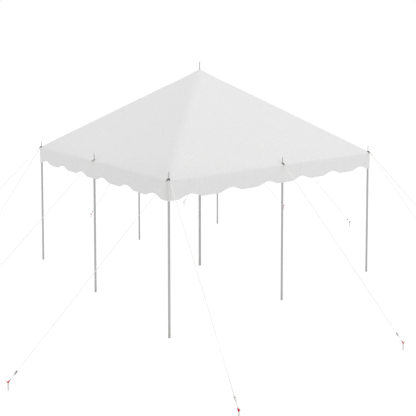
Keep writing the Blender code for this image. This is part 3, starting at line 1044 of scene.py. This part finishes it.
def ratchet_frame():
    """The locked ratchet's frame and wheels: X runs down the strap and Z away from its outer face."""
    bm = bmesh.new()
    frame_rim = lobed_outline((RATCHET_AXLE, 0.0, 0.0088), (0.008, -0.003, 0.0052),
                              (RATCHET_BOLT, 0.0, 0.0062))
    wheel_rim = toothed_outline(RATCHET_AXLE, 0.0, 0.0104, 0.002, 12)
    # The sides of the handle, folded over the frame
    handle_rim = lobed_outline((RATCHET_AXLE, 0.0, 0.0078), (0.008, 0.0075, 0.0042), (0.028, 0.0103, 0.0036))
    for rim, y, thick, edge in ((frame_rim, 0.0113, 0.0014, 0.0003), (wheel_rim, 0.0128, 0.001, 0.0002),
                                (handle_rim, 0.014, 0.0012, 0.0003)):
        for way in (-1, 1):
            add_plate(bm, [rim], thick, edge, across_guy(0.0, way * y, 0.0))
    floor = rounded_box(-0.004, 0.02, -0.0113, 0.0113, 0.002)
    add_plate(bm, [floor], 0.0014, 0.0003, shift(0.0, 0.0, -0.0072))
    add_turned(bm, rounded_profile(0.0028, -0.0126, 0.0126, 0.0006), 16, across_guy(RATCHET_BOLT, 0.0, 0.0))
    return bm


def ratchet_handle():
    """The face and grip of the handle, the drum halves, the pawl and the bolt's ends."""
    bm = bmesh.new()
    face = rounded_box(-0.0175, 0.0175, -0.0142, 0.0142, 0.003)
    rise = shift(0.0115, 0.0, 0.0104) @ rotation(radians(-6.5), "Y")
    add_plate(bm, [face], 0.0014, 0.0004, rise)
    add_turned(bm, rounded_profile(0.0032, -0.0146, 0.0146, 0.001), 20, across_guy(0.0295, 0.0, 0.01))
    half_drum = rounded_box(-0.0052, 0.0052, -0.0146, 0.0146, 0.001)
    for z in (-0.0024, 0.0024):
        add_plate(bm, [half_drum], 0.0032, 0.0007, shift(RATCHET_AXLE, 0.0, z))
    pawl = rounded_box(-0.008, 0.006, -0.0135, 0.0135, 0.002)
    add_plate(bm, [pawl], 0.0014, 0.0004, shift(0.0, 0.0, 0.0052) @ rotation(radians(12), "Y"))
    for low, high in ((-0.0137, -0.0119), (0.0119, 0.0137)):
        add_turned(bm, rounded_profile(0.0044, low, high, 0.0005), 6, across_guy(RATCHET_BOLT, 0.0, 0.0))
    return bm


def add_coil(bm, lays, place):
    """The strap wound on the drum."""
    coil = []
    turns, count = 2.2, 52
    for i in range(count + 1):
        wound = turns * i / count
        turn = pi * 1.5 - 2 * pi * wound
        radius = 0.0046 + 0.0016 * wound
        coil.append(polar(RATCHET_AXLE, 0.0, radius, turn))
    add_band(bm, lays, place, coil, 0.019, 0.0012)


def arc_points(centre, first, second, radius, low, high):
    """Points on an arc from angle low to high, measured from first toward second."""
    points = []
    for step in range(9):
        turn = low + (high - low) * step / 8
        points.append(centre + first * (radius * cos(turn)) + second * (radius * sin(turn)))
    return points


def make_stake(name, foot):
    """The rod, driven to just over the bars of its V plate, and the plate welded to it."""
    node = ("stake_" + name,)
    bm = bmesh.new()
    rod = [(0.0, 0.0), (0.0121, 0.0), (0.0121, 0.129), (0.0127, 0.132), (0.0128, 0.1348),
           (0.0118, 0.1364), (0.008, 0.1369), (0.0, 0.137)]
    add_turned(bm, rod, 32, foot)
    make_piece(bm, "rod_" + name, ROD_STEEL, node, 35)
    bm = bmesh.new()
    rim = rounded_box(0.0, 0.044, -0.0155, 0.0155, 0.004)
    window = rounded_box(0.0285, 0.0362, -0.0112, 0.0112, 0.002)
    for turn in (-V_ANGLE, V_ANGLE - pi):
        lean = shift(0.0, 0.0, V_ROOT_Z) @ rotation(turn, "Y")
        add_plate(bm, [rim, window], 0.005, 0.0006, foot @ lean)
    # A weld bead where the plate meets the rod
    bead = [(0.0115, 0.1255), (0.0148, 0.1275), (0.016, 0.132), (0.0156, 0.1365), (0.0135, 0.139),
            (0.0105, 0.1395)]
    add_rings(bm, bead, foot, 28)
    make_piece(bm, "v_plate_" + name, PAINT, node, 35)


def make_straps(name, place, down, up, bend, bar, middle, twist):
    """Both straps of a guy and the coil on its drum."""
    def at(origin, along, rise):
        return origin + down * along + up * rise

    # Long strap: from its sewn tail behind the plate, round the end bar, down to the drum
    bm, lays = bmesh.new(), []
    end_bar = at(bend, EYE_SLOT + 0.0105, 0.0)
    tail = [at(end_bar, 0.1, -0.0013), at(end_bar, 0.07, -0.0013), at(end_bar, 0.035, -0.0016),
            at(end_bar, 0.012, -0.0028)]
    around = arc_points(end_bar, -up, -down, 0.0038, 0.0, pi)
    front = [at(end_bar, 0.012, 0.003), at(end_bar, 0.03, 0.001), at(end_bar, 0.05, 0.0004),
             at(end_bar, 0.075, 0.0004), at(end_bar, 0.105, 0.0004)]
    drum = at(middle, RATCHET_AXLE, 0.0)
    run_end = at(drum, -0.018, -0.0045)
    long_run = [front[-1] + (run_end - front[-1]) * (i / 24) for i in range(1, 25)]
    wound = [at(drum, -0.006, -0.0078), at(drum, 0.001, -0.0082)]
    add_band(bm, lays, place, tail + around + front + long_run + wound, LONG_STRAP_W, 0.0014,
             ((0.004, 0.062), (0.128, 0.19)), radians(twist))
    add_coil(bm, lays, place @ on_guy(down, up, middle))
    # Short strap, looped round the ratchet's bolt and round the stake's bar
    bolt = at(middle, RATCHET_BOLT, 0.0)
    short = [at(bolt, 0.04, 0.0011), at(bolt, 0.028, 0.0013), at(bolt, 0.012, 0.0034)]
    short += arc_points(bolt, down, up, 0.0042, pi / 2, pi * 3 / 2)
    short += [at(bolt, 0.012, -0.0034), at(bolt, 0.028, -0.0008), at(bar, -0.026, -0.0018),
              at(bar, -0.014, -0.0052)]
    short += arc_points(at(bar, 0.0034, 0.0), down, up * 0.9, 0.0062, -pi / 2, pi / 2)
    short += [at(bar, -0.014, 0.0052), at(bar, -0.026, 0.0018)]
    add_band(bm, lays, place, short, STRAP_W, 0.0015, ((0.0, 0.03), (0.075, 0.11)))
    make_piece(bm, "strap_" + name, WEBBING, ("guy_strap_" + name,), 60, lays=lays)


def make_guy(name, bearing, reach, twist):
    """One guy with its eye plate, straps, ratchet and stake."""
    x, y = POLES[name.rstrip("_12")]
    place = shift(x, y, 0.0) @ rotation(radians(bearing), "Z")
    bend = Vector((EYE_BEND, EYE_Z + EYE_STEP if name.endswith("_2") else EYE_Z))
    bar = Vector((reach - V_BAR_OUT * cos(V_ANGLE), V_ROOT_Z + V_BAR_OUT * sin(V_ANGLE)))
    down = (bar - bend).normalized()
    up = Vector((-down.y, down.x))
    middle = bar - down * RATCHET_UP
    bm = bmesh.new()
    add_eye_plate(bm, bend, down, up)
    bm.transform(place)
    make_piece(bm, "eye_" + name, PLATE_STEEL, ("guy_strap_" + name,), 35)
    make_straps(name, place, down, up, bend, bar, middle, twist)
    for label, made, material in (("buckle_", ratchet_frame(), FRAME_STEEL),
                                  ("handle_", ratchet_handle(), ZINC)):
        made.transform(place @ on_guy(down, up, middle))
        make_piece(made, label + name, material, ("ratchet_" + name,), 30)
    make_stake(name, place @ shift(reach, 0.0, 0.0))


for guy in GUYS:
    make_guy(*guy)


# Studio
def make_floor():
    bm = bmesh.new()
    far = 220.0
    corners = ((-far, -far), (far, -far), (far, far), (-far, far))
    bm.faces.new([bm.verts.new((*corner, 0.0)) for corner in corners])
    mesh = mesh_of(bm, "floor")
    mat = shaded(new_material("studio_floor")[0], {
        "Base Color": (0.1, 0.1, 0.1, 1.0), "Roughness": 1.0, "Specular IOR Level": 0.0,
        "Emission Color": (1.0, 1.0, 1.0, 1.0), "Emission Strength": 0.94})
    mesh.materials.append(mat)
    floor = bpy.data.objects.new("floor", mesh)
    bpy.context.scene.collection.objects.link(floor)


def make_light():
    """An even white sky, a little less bright overhead, and two soft suns."""
    world = bpy.data.worlds.new("studio")
    world.use_nodes = True
    tree = world.node_tree
    height = parts_of(tree.nodes.new("ShaderNodeTexCoord").outputs["Generated"])[2]
    feed(tree.nodes["Background"], {
        "Strength": spread(height, 0.12, 0.22, 1.0, 0.93), "Color": (1.0, 1.0, 1.0, 1.0)})
    bpy.context.scene.world = world
    for name, energy, toward in (("top", 0.455, (0.0, 0.0, 1.0)), ("side", 0.365, (0.72, -0.6, 0.35))):
        data = bpy.data.lights.new(name, "SUN")
        data.energy = energy
        data.angle = radians(28.0)
        light = bpy.data.objects.new(name, data)
        light.rotation_euler = Vector(toward).to_track_quat("Z", "Y").to_euler()
        bpy.context.scene.collection.objects.link(light)
    bpy.context.scene.view_settings.view_transform = "Standard"


make_floor()
make_light()
